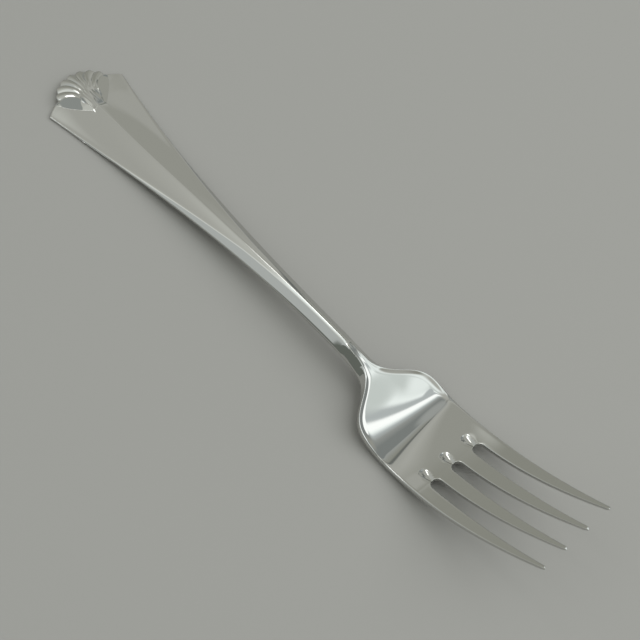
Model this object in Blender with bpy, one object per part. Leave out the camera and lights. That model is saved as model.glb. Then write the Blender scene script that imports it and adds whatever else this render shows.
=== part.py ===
"""A four-tined dinner fork with a shell finial, forged from one stainless steel blank.

The fork lies on its back along X: the shell end at -X, the tines at +X, the table at Z = 0.
It is built the way it is made: a blank with a roofed handle, a crested shank and a dished
head is rolled to its side profile, the shell is coined onto the handle's end, the slots
are pierced, and a teardrop is swaged at the top of each slot.
"""
import math

import bmesh
import bpy
from mathutils import Matrix

MM = 0.001

# Lengths along the fork, in millimetres
SHELL_OVERHANG = 8.7       # shell past the corners of the handle's end
HANDLE_LENGTH = 119.1      # corners of the handle's end to the neck
NECK_LENGTH = 27.1         # neck to the lowest point of the bowl
PLATE_LENGTH = 13.0        # lowest point of the bowl to the slot ends
TINE_LENGTH = 37.8         # slot ends to the tips
REST_LENGTH = 4.0          # flat of the back that lies on the table, from the corners
BOW_LENGTH = 10.0          # rows that follow the bowed end, from the corners
TAPER_LENGTH = 110.3       # handle's side curves, from the corners
PANEL_LENGTH = 90.0        # roofed panel, from the corners to its point
ARCH_SETBACK = 3.1         # highest point of the back, before the neck
SHOULDER_SETBACK = 12.2    # middle of the shoulder curves, past the neck
SHOULDER_SPREAD = 4.2      # how long the shoulder curves are drawn out
RIM_LENGTH = 24.0          # over which the shank's bevels narrow to the head's
RIM_LEAD = 4.0             # how far before the neck they start to narrow
NECK_CUT_LENGTH = 4.0      # over which the shank's upright edge drops at the neck
CURL_LEAD = 3.0            # how far before and past the neck the rim of the bowl lifts
END_BULGE = 4.0            # how far the handle's end bows out past its corners

# Widths
HANDLE_END_WIDTH = 27.2
SHANK_WIDTH = 5.6
HEAD_WIDTH = 27.6
SLOT_WIDTH = 3.3
TINE_TIP_WIDTH = 1.0
TIP_FLAT_WIDTH = 0.3
CREST_WIDTH = 0.3          # narrow top of the shank
EDGE_BEVEL = 0.25          # bevel beside the panel, at the handle's end
SHANK_BEVEL = 2.8          # the same bevel where the panel comes to its point
RIM_BEVEL = 0.35           # the same bevel round the head
CURL_BEND = 0.8            # rim of the bowl: where it bends up
CURL_FLAT = 0.9            # rim of the bowl: the band past the bend
CREST_SOFTNESS = 0.4       # how gradually the panel narrows into the crest

# Thicknesses
HANDLE_END_THICKNESS = 2.5
SHANK_THICKNESS = 3.55
BOWL_THICKNESS = 1.75
TINE_TIP_THICKNESS = 1.1
HANDLE_EDGE = 0.9          # upright edge at the handle's end
SHANK_EDGE = 0.85          # upright edge along the shank
NECK_EDGE_CUT = 0.35       # how much lower that edge is at the neck
BOWL_EDGE = 1.3            # upright edge round the head
TINE_TIP_EDGE = 0.8
BACK_CHAMFER = 0.2         # how far the back's outer edges lift

# Heights and depths of the forms
ARCH_HEIGHT = 6.6          # back of the shank above the table
TIP_HEIGHT = 24.5          # back of the tine tips above the table
DISH_DEPTH = 0.9           # hollow across the head
ROOF_RISE = 1.55           # ridge of the panel above its edges
ROOF_FADE = 4.5            # half width below which the roof flattens

# Shell finial
SHELL_BASE = 6.8           # root of the flutes, past the corners
SHELL_HALF_ANGLE = 43.0    # degrees
SHELL_SIDE_ANGLE = 78.5    # degrees, of the arc that its sides follow
SHELL_CROWN_DROP = 2.6     # how much shorter the outer flutes are than the middle one
SHELL_BASE_WIDTH = 3.9
SHELL_RISE = 1.6           # dome of the shell
SHELL_RIM_HEIGHT = 1.9
SHELL_LIFT = 0.25          # underside of the shell above the table
FLUTE_COUNT = 7
FLUTE_DEPTH = 0.3
SCALLOP_DEPTH = 0.5
COVE_ROOT = 0.55           # where the cove beside the shell begins, past the flutes' root
COVE_ROOT_WIDTH = 4.2      # between the two coves, where they begin
COVE_END = 0.95            # where the cove ends, past the corners
COVE_END_WIDTH = 19.4      # between the two coves' outer ends
COVE_SLOPE = 31.0          # degrees, of the cove's flat side

# Swaged teardrop at the top of each slot
SWAGE_LENGTH = 6.4
SWAGE_WIDTH = 3.2
SWAGE_DEPTH = 0.7

# How sharply the curves bend: powers of the distance along them
TINE_TAPER = 1.6
TINE_RISE = 1.8
BACK_ARCH = 1.6
ROOF_HOLLOW = 1.25
END_BOW = 3
DOME_SKEW = 1.3
DOME_FULLNESS = 0.7
LIP_REACH = 4

# Shares that shape the blends
SHELL_SIDE_DROP = 0.1      # of the shell's dome, lost at its sides
SHELL_ROOT = 0.02          # of the shell's length, where its first row lies
FLUTE_START = 0.4          # of the shell's length, where the flutes begin
FLUTE_FADE = 0.45          # of the shell's length, over which they reach their depth
CURL_SLOPE = 0.36          # height of the bowl's rim band to its width
CURL_SHARE = 0.8           # of the top's half width, most that the rim may take
SWAGE_LEAD = 1 / 6         # of the swage's length, from its middle to the slot's end

# Overlaps of the solids that are joined or cut
SHELL_SINK = 0.1
COVE_SINK = 0.15
CUTTER_MARGIN = 5.0

TINE_COUNT = 4
SLOT_COUNT = TINE_COUNT - 1
TINE_ROOT_WIDTH = (HEAD_WIDTH - SLOT_COUNT * SLOT_WIDTH) / TINE_COUNT
TINE_PITCH = TINE_ROOT_WIDTH + SLOT_WIDTH

# Stations along X, with the fork centred on the origin
TOTAL_LENGTH = SHELL_OVERHANG + HANDLE_LENGTH + NECK_LENGTH + PLATE_LENGTH + TINE_LENGTH
X_CORNER = SHELL_OVERHANG - TOTAL_LENGTH / 2
X_REST = X_CORNER + REST_LENGTH
X_BOW = X_CORNER + BOW_LENGTH
X_NECK = X_CORNER + HANDLE_LENGTH
X_ARCH = X_NECK - ARCH_SETBACK
X_SHOULDER = X_NECK + SHOULDER_SETBACK
X_LOW = X_NECK + NECK_LENGTH
X_SLOT = X_LOW + PLATE_LENGTH
X_TIP = X_SLOT + TINE_LENGTH
X_SHELL_BASE = X_CORNER + SHELL_BASE

# How finely the solids are faceted
REST_ROWS = 8
ARCH_ROWS = 24
NECK_ROWS = 22
PLATE_ROWS = 6
TINE_ROWS = 18
TIP_ROWS = 4
PANEL_SHARES = (1 / 4, 1 / 2, 3 / 4, 7 / 8, 1)   # lines across half of the panel
BEVEL_FACES = 2            # across one bevel
FLUTE_FACES = 4            # across one flute
SHELL_ROWS = 12
SLOT_END_FACES = 9         # odd, so that no corner lies on a lengthwise line of the blank
SWAGE_SEGMENTS = 16
SWAGE_RINGS = 8


def clamp(value):
    return min(1.0, max(0.0, value))


def ease(value):
    """Go from 0 to 1 with level ends."""
    return (1 - math.cos(math.pi * clamp(value))) / 2


def mix(start, end, share):
    return start + (end - start) * share


def tine_width(x):
    """Width of one tine: a gentle taper, then a rounded tip."""
    along = clamp((x - X_SLOT) / TINE_LENGTH)
    width = mix(TINE_ROOT_WIDTH, TINE_TIP_WIDTH, along ** TINE_TAPER)
    into_tip = clamp((x - X_TIP + TINE_TIP_WIDTH) / TINE_TIP_WIDTH)
    round_end = math.sqrt(1 - into_tip ** 2)
    return max(TIP_FLAT_WIDTH, width * round_end)


def handle_half_width(x):
    along = clamp((x - X_CORNER) / TAPER_LENGTH)
    return mix(HANDLE_END_WIDTH, SHANK_WIDTH, 1 - (1 - along) ** 2) / 2


def half_width(x):
    """Half of the plan outline: flared handle, slim shank, round shoulders, tapering tines."""
    shoulder = (1 + math.tanh((x - X_SHOULDER) / SHOULDER_SPREAD)) / 2
    flare = (HEAD_WIDTH - SHANK_WIDTH) / 2 * shoulder
    tine_taper = (TINE_ROOT_WIDTH - tine_width(x)) / 2
    return handle_half_width(x) + flare - tine_taper


def panel_half_width(x):
    """Half of the top between the bevels: a roofed panel, a narrow crest, then the open bowl."""
    along = clamp((x - X_CORNER) / PANEL_LENGTH)
    bevel = mix(EDGE_BEVEL, SHANK_BEVEL, along ** 2)
    bevel = mix(bevel, RIM_BEVEL, ease((x - X_NECK + RIM_LEAD) / RIM_LENGTH))
    spare = half_width(x) - bevel - CREST_WIDTH / 2
    return CREST_WIDTH / 2 + (spare + math.hypot(spare, CREST_SOFTNESS)) / 2


def back_height(x):
    """Side profile of the back: flat rest, arched shank, bowl on the table, rising tines."""
    if x < X_REST:
        return 0.0
    if x < X_ARCH:
        along = (x - X_REST) / (X_ARCH - X_REST)
        return ARCH_HEIGHT * math.sin(math.pi / 2 * along) ** BACK_ARCH
    if x < X_LOW:
        return ARCH_HEIGHT * ease((X_LOW - x) / (X_LOW - X_ARCH))
    return TIP_HEIGHT * ((x - X_LOW) / (X_TIP - X_LOW)) ** TINE_RISE


def dish_rise(x, y):
    """How much the head rises from its middle line to the place y."""
    depth = DISH_DEPTH * ease((x - X_NECK) / (X_SHOULDER - X_NECK))
    return depth * (2 * y / HEAD_WIDTH) ** 2


def along_fork(x, at_end, at_neck, at_bowl, at_tip):
    """A thickness at station x, from its values at four places along the fork."""
    value = mix(at_end, at_neck, ease((x - X_CORNER) / HANDLE_LENGTH))
    value = mix(value, at_bowl, ease((x - X_ARCH) / (X_LOW - X_ARCH)))
    return mix(value, at_tip, clamp((x - X_SLOT) / TINE_LENGTH))


def edge_height(x):
    """The upright edge below the bevel, which is lowest at the neck."""
    edge = along_fork(x, HANDLE_EDGE, SHANK_EDGE, BOWL_EDGE, TINE_TIP_EDGE)
    at_neck = ease((x - X_ARCH) / NECK_CUT_LENGTH + 1 / 2) * ease((X_LOW - x) / (X_LOW - X_ARCH))
    return edge - NECK_EDGE_CUT * at_neck


def rim_curl(x, outward, panel):
    """How much the bowl's rim lifts: a short bend, then a straight band out to the bevel."""
    on_head = ease((x - X_NECK) / (2 * CURL_LEAD) + 1 / 2) * ease((X_SLOT - x) / PLATE_LENGTH)
    shrink = min(1, CURL_SHARE * panel / (CURL_BEND + CURL_FLAT))
    bend, flat = CURL_BEND * shrink, CURL_FLAT * shrink
    into_curl = min(bend + flat, max(0, outward - panel + bend + flat))
    lift = into_curl ** 2 / (2 * bend) if into_curl < bend else into_curl - bend / 2
    return CURL_SLOPE * on_head * lift


def top_height(x, y):
    """Top of the fork: a hollow-sided roof, a crest or the dished bowl, between two bevels."""
    crest = along_fork(x, HANDLE_END_THICKNESS, SHANK_THICKNESS, BOWL_THICKNESS, TINE_TIP_THICKNESS)
    edge = edge_height(x)
    panel = panel_half_width(x)
    rise = ROOF_RISE * math.tanh(panel / ROOF_FADE) * ease((X_NECK - x) / ARCH_SETBACK)
    if abs(y) <= panel:
        profile = crest - rise * (1 - (1 - abs(y) / panel) ** ROOF_HOLLOW)
    else:
        profile = mix(crest - rise, edge, clamp((abs(y) - panel) / (half_width(x) - panel)))
    return back_height(x) + dish_rise(x, y) + profile + rim_curl(x, abs(y), panel)


def bottom_height(x, y):
    """Back of the fork, with its outer edges slightly lifted."""
    on_edge = math.isclose(abs(y), half_width(x), rel_tol=0.001)
    return back_height(x) + dish_rise(x, y) + (BACK_CHAMFER if on_edge else 0.0)


def column_places(x):
    """Y of each lengthwise line of the blank at station x, from the right edge to the left."""
    outer = half_width(x)
    panel = panel_half_width(x)
    half = [panel * share for share in PANEL_SHARES]
    half += [mix(panel, outer, index / BEVEL_FACES) for index in range(1, BEVEL_FACES + 1)]
    return [-place for place in reversed(half)] + [0.0] + half


def spread(start, end, count):
    """Evenly spaced stations from start up to, but not including, end."""
    return [mix(start, end, index / count) for index in range(count)]


def tip_stations():
    """Stations round a tine's tip, closer together towards its end."""
    angles = spread(0, math.pi / 2, TIP_ROWS) + [math.pi / 2]
    return [X_TIP - TINE_TIP_WIDTH * (1 - math.sin(angle)) for angle in angles]


def row_stations():
    """Stations of the blank's rows from the handle's end to the tips."""
    stations = spread(X_CORNER, X_BOW, REST_ROWS)
    stations += spread(X_BOW, X_ARCH, ARCH_ROWS)
    stations += spread(X_ARCH, X_LOW, NECK_ROWS)
    before_slot = X_SLOT - SLOT_WIDTH / 4
    stations += spread(X_LOW, before_slot, PLATE_ROWS)
    return stations + spread(before_slot, X_TIP - TINE_TIP_WIDTH, TINE_ROWS) + tip_stations()


def new_object(name, mesh, collection):
    item = bpy.data.objects.new(name, mesh)
    collection.objects.link(item)
    return item


def sheet_mesh(name, rows, bottom_of):
    """Close a lofted sheet into a solid: rows of top points, extruded down to bottom_of."""
    shape = bmesh.new()
    grid = [[shape.verts.new([value * MM for value in point]) for point in row] for row in rows]
    for row, following in zip(grid, grid[1:]):
        for index in range(len(row) - 1):
            shape.faces.new((row[index], following[index], following[index + 1], row[index + 1]))
    under = {}
    for row in grid:
        for vert in row:
            x, y = vert.co.x / MM, vert.co.y / MM
            under[vert] = shape.verts.new((vert.co.x, vert.co.y, bottom_of(x, y) * MM))
    border = [edge for edge in shape.edges if edge.is_boundary]
    for face in list(shape.faces):
        shape.faces.new([under[vert] for vert in reversed(face.verts)])
    for edge in border:
        first, second = edge.verts
        shape.faces.new((first, second, under[second], under[first]))
    bmesh.ops.recalc_face_normals(shape, faces=shape.faces)
    mesh = bpy.data.meshes.new(name)
    shape.to_mesh(mesh)
    shape.free()
    return mesh


def blank_rows():
    """Rows of top points from the bowed end of the handle to the tine tips."""
    rows = []
    for station in row_stations():
        bow = END_BULGE * (1 - clamp((station - X_CORNER) / BOW_LENGTH)) ** 2
        outer = half_width(station)
        row = []
        for y in column_places(station):
            x = station - bow * (1 - abs(y / outer) ** END_BOW)
            row.append((x, y, top_height(station, y)))
        rows.append(row)
    return rows


def blank_bottom(x, y):
    """Back of the blank, flat under the bowed end."""
    return bottom_height(max(x, X_CORNER), y)


def cove_foot(row):
    """Plan of the line, on the +Y side, where the cove meets the panel."""
    x = mix(X_SHELL_BASE + COVE_ROOT, X_CORNER - COVE_END, row)
    return x, mix(COVE_ROOT_WIDTH, COVE_END_WIDTH, row) / 2


def cove_height(x, y):
    """The flat side of the cove, which climbs from its foot towards the shell."""
    (root_x, root_y), (end_x, end_y) = cove_foot(0), cove_foot(1)
    length = math.hypot(end_x - root_x, end_y - root_y)
    along_x, along_y = (end_x - root_x) / length, (end_y - root_y) / length
    along = ((x - root_x) * along_x + (abs(y) - root_y) * along_y) / length
    out = (abs(y) - root_y) * along_x - (x - root_x) * along_y
    level = mix(top_height(root_x, root_y), top_height(X_CORNER, end_y), along)
    return level + math.tan(math.radians(COVE_SLOPE)) * out


def flute_wave(column):
    """Height of a flute about its mean: a round rib between two sharp valleys."""
    return math.sin(math.pi * (FLUTE_COUNT * (column + 1) / 2 % 1)) - 2 / math.pi


def shell_plan(row, column):
    angle = math.radians(SHELL_HALF_ANGLE) * column
    reach = SHELL_OVERHANG + SHELL_BASE - SCALLOP_DEPTH * (1 - 2 / math.pi)
    reach += SCALLOP_DEPTH * flute_wave(column) - SHELL_CROWN_DROP * column ** 2
    sweep = math.radians(SHELL_SIDE_ANGLE)
    spread_out = (1 - math.cos(math.asin(row * math.sin(sweep)))) / (1 - math.cos(sweep))
    x = X_SHELL_BASE - reach * math.cos(angle) * row
    return x, mix(SHELL_BASE_WIDTH / 2 * column, reach * math.sin(angle), spread_out)


def shell_dome(row, column):
    """Height of the domed and fluted shell before its sides are brought to the coves."""
    root = top_height(X_SHELL_BASE, SHELL_BASE_WIDTH / 2 * column) - SHELL_SINK
    dome = max(0, math.sin(math.pi * row ** DOME_SKEW)) ** DOME_FULLNESS
    dome *= SHELL_RISE * (1 - SHELL_SIDE_DROP * column ** 2)
    flutes = FLUTE_DEPTH * ease((row - FLUTE_START) / FLUTE_FADE) * flute_wave(column)
    return mix(root, SHELL_RIM_HEIGHT, row) + dome + flutes


def shell_point(row, column):
    """One point of the shell's top, from its root (row 0) to its scalloped rim (row 1)."""
    x, y = shell_plan(row, column)
    to_cove = cove_height(*shell_plan(row, 1)) - shell_dome(row, 1)
    return x, y, shell_dome(row, column) + abs(column) ** LIP_REACH * to_cove


def cove_point(row, side):
    """Foot of the cove beside the shell, just under the surface of the panel."""
    x, y = cove_foot(row)
    return x, side * y, top_height(max(x, X_CORNER), y) - COVE_SINK


def shell_rows():
    faces = FLUTE_COUNT * FLUTE_FACES
    rows = []
    for row_index in range(SHELL_ROWS + 1):
        row = mix(SHELL_ROOT, 1, row_index / SHELL_ROWS)
        points = [shell_point(row, 2 * index / faces - 1) for index in range(faces + 1)]
        rows.append([cove_point(row, -1)] + points + [cove_point(row, 1)])
    return rows


def tine_gap_outline(centre):
    """Plan of one slot: a round end, then sides that follow the tines on either hand."""
    radius = SLOT_WIDTH / 2
    left, right = [], []
    for index in range(1, SLOT_END_FACES):
        angle = math.pi * index / SLOT_END_FACES
        left.append((X_SLOT + radius * (1 - math.sin(angle)), centre + radius * math.cos(angle)))
    stations = spread(X_SLOT + radius, X_TIP - TINE_TIP_WIDTH, TINE_ROWS) + tip_stations()
    for x in stations + [X_TIP + TINE_TIP_WIDTH]:
        reach = (TINE_PITCH - tine_width(x)) / 2
        left.insert(0, (x, centre + reach))
        right.append((x, centre - reach))
    return left + right


def slot_cutter(name, centre, collection):
    """A tall prism on the slot's outline."""
    shape = bmesh.new()
    outline = [shape.verts.new((x * MM, y * MM, -CUTTER_MARGIN * MM)) for x, y in tine_gap_outline(centre)]
    floor = shape.faces.new(outline)
    lifted = bmesh.ops.extrude_face_region(shape, geom=[floor])["geom"]
    tops = [item for item in lifted if isinstance(item, bmesh.types.BMVert)]
    bmesh.ops.translate(shape, verts=tops, vec=(0, 0, (TIP_HEIGHT + 3 * CUTTER_MARGIN) * MM))
    bmesh.ops.recalc_face_normals(shape, faces=shape.faces)
    mesh = bpy.data.meshes.new(name)
    shape.to_mesh(mesh)
    shape.free()
    return new_object(name, mesh, collection)


def swage_cutter(name, centre, collection):
    """A long egg that scoops the teardrop at the top of a slot."""
    x = X_SLOT - SWAGE_LENGTH * SWAGE_LEAD
    slope = (top_height(x + 1, centre) - top_height(x - 1, centre)) / 2
    bpy.ops.mesh.primitive_uv_sphere_add(segments=SWAGE_SEGMENTS, ring_count=SWAGE_RINGS, radius=0.5)
    item = bpy.context.object
    item.name = name
    item.data.transform(Matrix.Rotation(math.pi / SWAGE_SEGMENTS, 4, "Z"))
    item.scale = (SWAGE_LENGTH * MM, SWAGE_WIDTH * MM, 2 * SWAGE_DEPTH * MM)
    item.rotation_euler = (0, -math.atan(slope), 0)
    item.location = (x * MM, centre * MM, top_height(x, centre) * MM)
    for holder in list(item.users_collection):
        holder.objects.unlink(item)
    collection.objects.link(item)
    return item


def combine(item, tool, operation):
    """Join or cut with a guide solid that is not itself a piece."""
    tool.hide_render = True
    tool.display_type = "WIRE"
    modifier = item.modifiers.new(tool.name, "BOOLEAN")
    modifier.object = tool
    modifier.operation = operation


def polished_steel():
    material = bpy.data.materials.new("polished_stainless_steel")
    material.use_nodes = True
    shader = material.node_tree.nodes["Principled BSDF"]
    shader.inputs["Base Color"].default_value = (0.62, 0.62, 0.60, 1)
    shader.inputs["Metallic"].default_value = 1.0
    shader.inputs["Roughness"].default_value = 0.12
    return material


def main():
    for item in list(bpy.data.objects):
        bpy.data.objects.remove(item)
    pieces = bpy.data.collections.new("dinner_fork")
    guides = bpy.data.collections.new("guides")
    bpy.context.scene.collection.children.link(pieces)
    bpy.context.scene.collection.children.link(guides)

    fork = new_object("fork", sheet_mesh("fork", blank_rows(), blank_bottom), pieces)
    fork.data.materials.append(polished_steel())
    shell = new_object("shell_form", sheet_mesh("shell_form", shell_rows(), lambda x, y: SHELL_LIFT), guides)
    combine(fork, shell, "UNION")
    for index in range(SLOT_COUNT):
        centre = (index - (SLOT_COUNT - 1) / 2) * TINE_PITCH
        combine(fork, slot_cutter(f"slot_{index + 1}", centre, guides), "DIFFERENCE")
        combine(fork, swage_cutter(f"swage_{index + 1}", centre, guides), "DIFFERENCE")
    fork.data.shade_smooth()
    fork.data.set_sharp_from_angle(angle=math.radians(30))


main()
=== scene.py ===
# %% [markdown]
# # A mirror-polished dinner fork
#
# A fork like this is one piece of stainless steel. A flat blank is rolled thinner towards the tines,
# stamped between two dies that raise the ridge and the shell, pierced for the slots, and polished until
# it mirrors the room. So this lesson makes one mesh: a sheet that is laid out flat, raised, pierced and
# given its thickness, in the order in which the metal is worked.
#
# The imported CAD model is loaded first. It is the fixed frame: the new mesh lies in the same place, and
# stands for the CAD solid of the same fork.

# %% Load the frame
import math

import bpy
import numpy as np
from mathutils import Matrix, Vector


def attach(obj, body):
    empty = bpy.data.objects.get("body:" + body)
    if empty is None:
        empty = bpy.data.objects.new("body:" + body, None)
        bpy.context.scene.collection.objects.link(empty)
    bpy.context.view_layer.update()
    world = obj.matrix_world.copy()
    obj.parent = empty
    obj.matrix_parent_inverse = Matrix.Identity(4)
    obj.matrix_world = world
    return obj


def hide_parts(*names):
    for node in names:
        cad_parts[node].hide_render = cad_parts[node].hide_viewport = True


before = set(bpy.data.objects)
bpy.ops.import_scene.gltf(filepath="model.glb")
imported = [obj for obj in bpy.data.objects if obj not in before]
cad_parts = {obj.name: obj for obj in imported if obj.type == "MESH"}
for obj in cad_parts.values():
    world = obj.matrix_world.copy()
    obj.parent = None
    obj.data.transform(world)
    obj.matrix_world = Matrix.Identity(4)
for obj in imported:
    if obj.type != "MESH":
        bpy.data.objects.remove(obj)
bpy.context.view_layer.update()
bpy.ops.object.select_all(action="DESELECT")
MM = 0.001

# %% [markdown]
# ## The camera
#
# The camera comes first, because every later choice is judged through it. It looks down on the fork from
# beside the tines, turned a little about its own axis, through a lens that is longer than a normal one.
# The place was found by matching the outline, the ridge, the slot ends and the tips. A camera looks along
# its own -Z axis, so its three axes are worked out here and written into one matrix.

# %% Place the camera
CAMERA_AZIMUTH = math.radians(41.28)
CAMERA_ELEVATION = math.radians(59.90)
CAMERA_ROLL = math.radians(8.20)
CAMERA_DISTANCE = 371.7 * MM
CAMERA_TARGET = Vector((9.13 * MM, 3.19 * MM, 0))
CAMERA_LENS = 75.0
CAMERA_NEAR = 10 * MM

level = math.cos(CAMERA_ELEVATION)
back = Vector((math.sin(CAMERA_AZIMUTH), -math.cos(CAMERA_AZIMUTH), 0)) * level
back.z = math.sin(CAMERA_ELEVATION)
right = Vector((math.cos(CAMERA_AZIMUTH), math.sin(CAMERA_AZIMUTH), 0))
right = Matrix.Rotation(CAMERA_ROLL, 3, back) @ right
bpy.ops.object.camera_add()
camera = bpy.context.object
camera.data.lens = CAMERA_LENS
camera.data.clip_start = CAMERA_NEAR
turned = Matrix((right, back.cross(right), back)).transposed().to_4x4()
camera.matrix_world = Matrix.Translation(CAMERA_TARGET + back * CAMERA_DISTANCE) @ turned
bpy.context.scene.camera = camera
print("camera at", [round(v, 3) for v in camera.location])

# %% [markdown]
# ## The sizes
#
# A maker's drawing of a fork is a set of lengths along it, widths across it and thicknesses through it.
# They are in millimetres, and every curve below is drawn from them. They follow the CAD source, apart from
# the hollow of the handle's panels, which is a hair deeper here, because a mirror shows even that much.

# %% Sizes in millimetres
SHELL_OVERHANG = 8.7
HANDLE_LENGTH = 119.1
NECK_LENGTH = 27.1
PLATE_LENGTH = 13.0
TINE_LENGTH = 37.8
REST_LENGTH = 4.0
TAPER_LENGTH = 110.3
PANEL_LENGTH = 90.0
ARCH_SETBACK = 3.1
SHOULDER_SETBACK = 12.2
SHOULDER_SPREAD = 4.2
RIM_LENGTH = 24.0
RIM_LEAD = 4.0
END_BULGE = 4.0

HANDLE_END_WIDTH = 27.2
SHANK_WIDTH = 5.6
HEAD_WIDTH = 27.6
SLOT_WIDTH = 3.3
TINE_TIP_WIDTH = 1.0
TIP_FLAT_WIDTH = 0.3
CREST_WIDTH = 0.3
EDGE_BEVEL = 0.25
SHANK_BEVEL = 2.8
RIM_BEVEL = 0.35
CREST_SOFTNESS = 0.4
BEVEL_TINE_SHARE = 0.45    # most of a tine's width that its bevel may take

HANDLE_END_THICKNESS = 2.5
SHANK_THICKNESS = 3.55
BOWL_THICKNESS = 1.75
TINE_TIP_THICKNESS = 1.1
HANDLE_EDGE = 0.9
SHANK_EDGE = 0.85
NECK_EDGE_CUT = 0.35
BOWL_EDGE = 1.3
TINE_TIP_EDGE = 0.8

ARCH_HEIGHT = 6.6
TIP_HEIGHT = 24.5
DISH_DEPTH = 0.9
ROOF_RISE = 1.55
ROOF_FADE = 4.5
NECK_CUT_LENGTH = 4.0

TINE_TAPER = 1.6
TINE_RISE = 1.8
BACK_ARCH = 1.6
ROOF_HOLLOW = 1.42         # 1 would make the panels flat

TINE_COUNT = 4
SLOT_COUNT = TINE_COUNT - 1
TINE_ROOT_WIDTH = (HEAD_WIDTH - SLOT_COUNT * SLOT_WIDTH) / TINE_COUNT
TINE_PITCH = TINE_ROOT_WIDTH + SLOT_WIDTH
SLOT_CENTRES = [(index - 1) * TINE_PITCH for index in range(SLOT_COUNT)]
OUTER_TINE_CENTRE = (TINE_COUNT - 1) / 2 * TINE_PITCH

TOTAL_LENGTH = SHELL_OVERHANG + HANDLE_LENGTH + NECK_LENGTH + PLATE_LENGTH + TINE_LENGTH
X_CORNER = SHELL_OVERHANG - TOTAL_LENGTH / 2
X_REST = X_CORNER + REST_LENGTH
X_NECK = X_CORNER + HANDLE_LENGTH
X_ARCH = X_NECK - ARCH_SETBACK
X_SHOULDER = X_NECK + SHOULDER_SETBACK
X_LOW = X_NECK + NECK_LENGTH
X_SLOT = X_LOW + PLATE_LENGTH
X_TIP = X_SLOT + TINE_LENGTH
print("length", round(TOTAL_LENGTH, 1), "tine pitch", round(TINE_PITCH, 3))

# %% [markdown]
# ## The plan and the side view
#
# Seen from above, the handle flares towards its end, the shank is slim, the shoulders swing out, and each
# tine tapers to a round tip. Between the two bevels lies the top: a broad panel on the handle, a narrow
# crest on the shank, and the whole bowl on the head. Seen from the side, the back lies flat at the
# handle's end, arches up to the neck, comes down again under the bowl, and climbs to the tips.
#
# The curves take whole arrays of numbers at once, because the sheet has tens of thousands of points.


# %% Curves of the outline and the back
def ease(share):
    """Go from 0 to 1 with level ends."""
    return (1 - np.cos(np.pi * np.clip(share, 0, 1))) / 2


def mix(start, end, share):
    return start + (end - start) * share


def tine_width(x):
    along = np.clip((x - X_SLOT) / TINE_LENGTH, 0, 1)
    width = mix(TINE_ROOT_WIDTH, TINE_TIP_WIDTH, along ** TINE_TAPER)
    into_tip = np.clip((x - X_TIP) / TINE_TIP_WIDTH + 1, 0, 1)
    return np.maximum(TIP_FLAT_WIDTH, width * np.sqrt(1 - into_tip ** 2))


def half_width(x):
    along = np.clip((x - X_CORNER) / TAPER_LENGTH, 0, 1)
    handle = mix(HANDLE_END_WIDTH, SHANK_WIDTH, 1 - (1 - along) ** 2) / 2
    shoulder = (1 + np.tanh((x - X_SHOULDER) / SHOULDER_SPREAD)) / 2
    flare = (HEAD_WIDTH - SHANK_WIDTH) / 2 * shoulder
    return handle + flare - (TINE_ROOT_WIDTH - tine_width(x)) / 2


def panel_half_width(x):
    along = np.clip((x - X_CORNER) / PANEL_LENGTH, 0, 1)
    bevel = mix(EDGE_BEVEL, SHANK_BEVEL, along ** 2)
    bevel = mix(bevel, RIM_BEVEL, ease((x - X_NECK + RIM_LEAD) / RIM_LENGTH))
    spare = half_width(x) - bevel - CREST_WIDTH / 2
    panel = CREST_WIDTH / 2 + (spare + np.hypot(spare, CREST_SOFTNESS)) / 2
    return np.maximum(panel, half_width(x) - BEVEL_TINE_SHARE * tine_width(x))


def back_height(x):
    up_handle = np.clip((x - X_REST) / (X_ARCH - X_REST), 0, 1)
    arch = ARCH_HEIGHT * np.sin(np.pi / 2 * up_handle) ** BACK_ARCH
    neck = ARCH_HEIGHT * ease((X_LOW - x) / (X_LOW - X_ARCH))
    tines = TIP_HEIGHT * np.clip((x - X_LOW) / (X_TIP - X_LOW), 0, 1) ** TINE_RISE
    return np.where(x < X_ARCH, arch, np.where(x < X_LOW, neck, tines))


def dish_rise(x, y):
    depth = DISH_DEPTH * ease((x - X_NECK) / (X_SHOULDER - X_NECK))
    return depth * (2 * y / HEAD_WIDTH) ** 2


def along_fork(x, at_end, at_neck, at_bowl, at_tip):
    """A thickness at station x, from its values at four places along the fork."""
    value = mix(at_end, at_neck, ease((x - X_CORNER) / HANDLE_LENGTH))
    value = mix(value, at_bowl, ease((x - X_ARCH) / (X_LOW - X_ARCH)))
    return mix(value, at_tip, np.clip((x - X_SLOT) / TINE_LENGTH, 0, 1))


def edge_height(x):
    """The upright edge below the bevel, which is lowest at the neck."""
    edge = along_fork(x, HANDLE_EDGE, SHANK_EDGE, BOWL_EDGE, TINE_TIP_EDGE)
    at_neck = ease((x - X_ARCH) / NECK_CUT_LENGTH + 0.5) * ease((X_LOW - x) / (X_LOW - X_ARCH))
    return edge - NECK_EDGE_CUT * at_neck


for station in (X_CORNER, 0.0, X_NECK, X_SLOT, X_TIP):
    print("x", round(station, 1), "half width", round(float(half_width(station)), 2))

# %% [markdown]
# ## The top and its rounded edges
#
# The dies leave crisp lines, and polishing then softens them. Where the panel meets a bevel, the lower of
# two surfaces is taken with a small fillet between them, which is what gives a polished line its thin
# highlight. Every outer edge is rounded by a quarter circle, and so are the edges of the slots: the closer
# a point lies to an edge, the further it drops. The rim of the bowl curls up a little, which makes the
# bright line all round it, and each tine ends in a small ground facet.

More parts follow.
